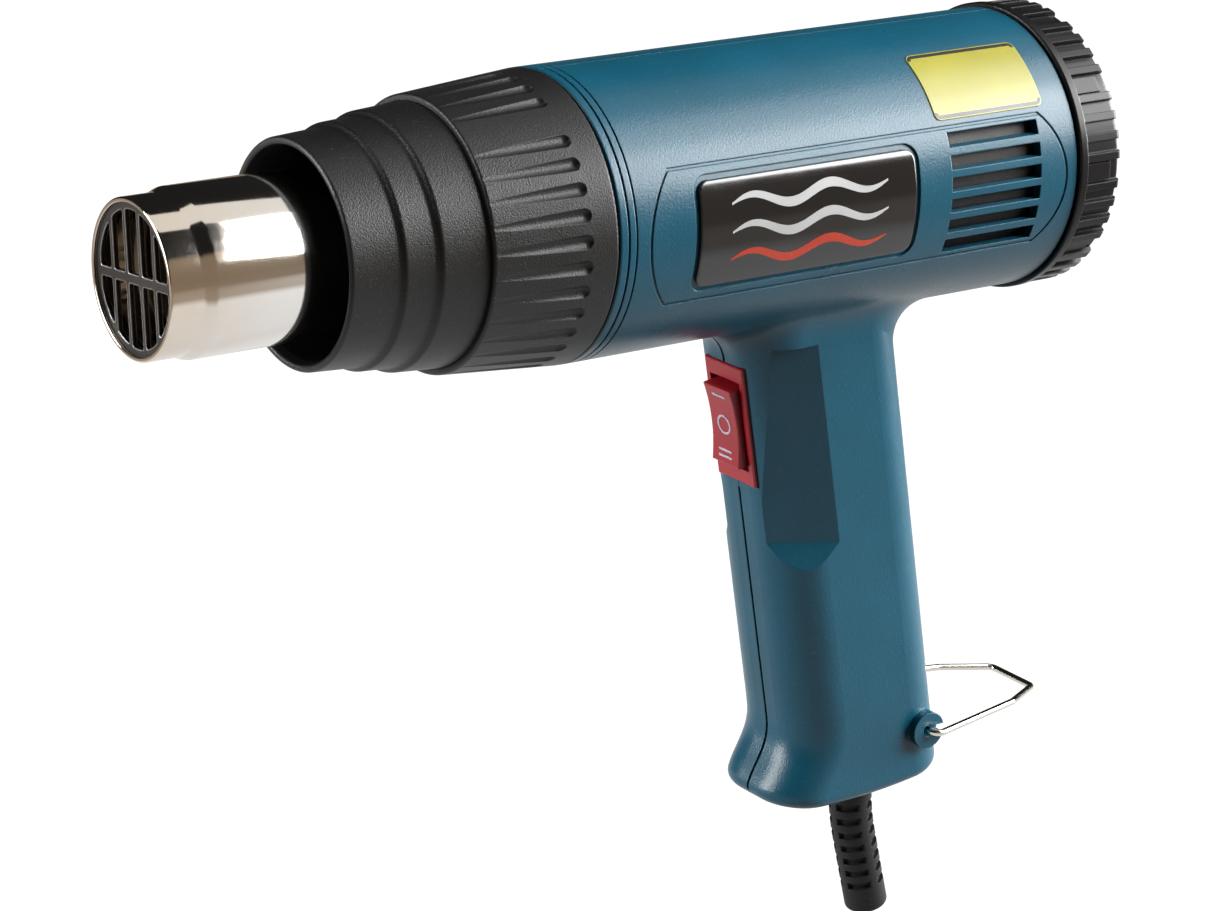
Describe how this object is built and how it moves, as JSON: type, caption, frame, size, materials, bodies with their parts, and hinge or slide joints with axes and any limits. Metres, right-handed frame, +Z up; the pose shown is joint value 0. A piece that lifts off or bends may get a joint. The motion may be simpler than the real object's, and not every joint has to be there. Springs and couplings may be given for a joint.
{
  "type": "heat gun",
  "caption": "Pistol-grip electric heat gun with stepped heat guard, vented barrel, knurled air-control end cap, rocker switch, cord sleeve and wire hanging bail.",
  "frame": {"origin": "centre of the nozzle's mouth, on the barrel's axis", "axes": "-X out of the nozzle along the barrel, +Z up, handle down, -Y the user's left side"},
  "size_m": [0.2591, 0.069, 0.2284],
  "materials": {
    "nozzle_chrome": "polished",
    "grille_steel": "dark, slightly burnt",
    "mica": "matt",
    "resistance_wire": "oxidised",
    "plain_steel": "zinc plated",
    "screw_steel": "blackened",
    "guard_plastic": "fine satin texture",
    "shell_plastic": "fine satin texture",
    "badge_gloss": "domed gloss",
    "label_yellow": "printed film",
    "cap_plastic": "semi-gloss",
    "inner_plastic": "matt",
    "magnet": "matt",
    "bronze": "plain",
    "armature_steel": "varnished",
    "copper": "polished",
    "fan_plastic": "matt",
    "switch_red": "satin gloss",
    "mark_white": "printed",
    "board_green": "lacquered",
    "capacitor_film": "plain",
    "relief_rubber": "matt",
    "wire_jacket": "plain",
    "bail_wire": "nickel plated"
  },
  "bodies": {
    "housing": {"air_funnel": "inner_plastic", "badge_left": "badge_gloss", "badge_right": "badge_gloss", "bearing_front": "bronze", "bearing_rear": "bronze", "board_capacitor": "capacitor_film", "board_diodes": "inner_plastic", "bracket_screws": "screw_steel", "brush_holders": "bronze", "caution_label": "label_yellow", "clamp_screws": "screw_steel", "control_board": "board_green", "cord_clamp": "inner_plastic", "flange_screws": "screw_steel", "heater_core": "mica", "heater_terminals": "plain_steel", "heating_coil": "resistance_wire", "housing_left": "shell_plastic", "housing_right": "shell_plastic", "housing_screws": "screw_steel", "lead_wires": "wire_jacket", "mica_tube": "mica", "motor_bracket": "inner_plastic", "motor_can": "plain_steel", "motor_end_cap": "inner_plastic", "motor_magnets": "magnet", "nozzle_flange": "plain_steel", "nozzle_grille": "grille_steel", "nozzle_tube": "nozzle_chrome", "strain_relief": "relief_rubber", "switch_frame": "switch_red", "switch_terminals": "bronze", "thermal_fuse": "plain_steel"},
    "guard": {"guard_cone": "guard_plastic", "grip_collar": "guard_plastic"},
    "air_control": {"air_control_cap": "cap_plastic", "shutter_sleeve": "inner_plastic", "shutter_screws": "screw_steel"},
    "rocker": {"switch_rocker": "switch_red", "rocker_marks": "mark_white"},
    "bail": {"hanging_bail": "bail_wire"},
    "rotor": {"motor_shaft": "plain_steel", "armature": "armature_steel", "commutator": "copper", "fan_impeller": "fan_plastic"}
  },
  "joints": [
    {"name": "guard_turn", "type": "hinge", "parent": "housing", "child": "guard", "pos_m": [0.097, 0, 0], "axis": [-1, 0, 0], "range_deg": [0, 30]},
    {"name": "air_control_turn", "type": "hinge", "parent": "housing", "child": "air_control", "pos_m": [0.2282, 0, 0], "axis": [1, 0, 0], "range_deg": [0, 60]},
    {"name": "rocker_tilt", "type": "hinge", "parent": "housing", "child": "rocker", "pos_m": [0.16155, 0, -0.05688], "axis": [0, 1, 0], "range_deg": [-12, 12]},
    {"name": "bail_swing", "type": "hinge", "parent": "housing", "child": "bail", "pos_m": [0.2085, 0, -0.1403], "axis": [0, 1, 0], "range_deg": [-60, 65]},
    {"name": "rotor_spin", "type": "hinge", "parent": "housing", "child": "rotor", "pos_m": [0.2, 0, 0], "axis": [1, 0, 0], "continuous": true}
  ]
}
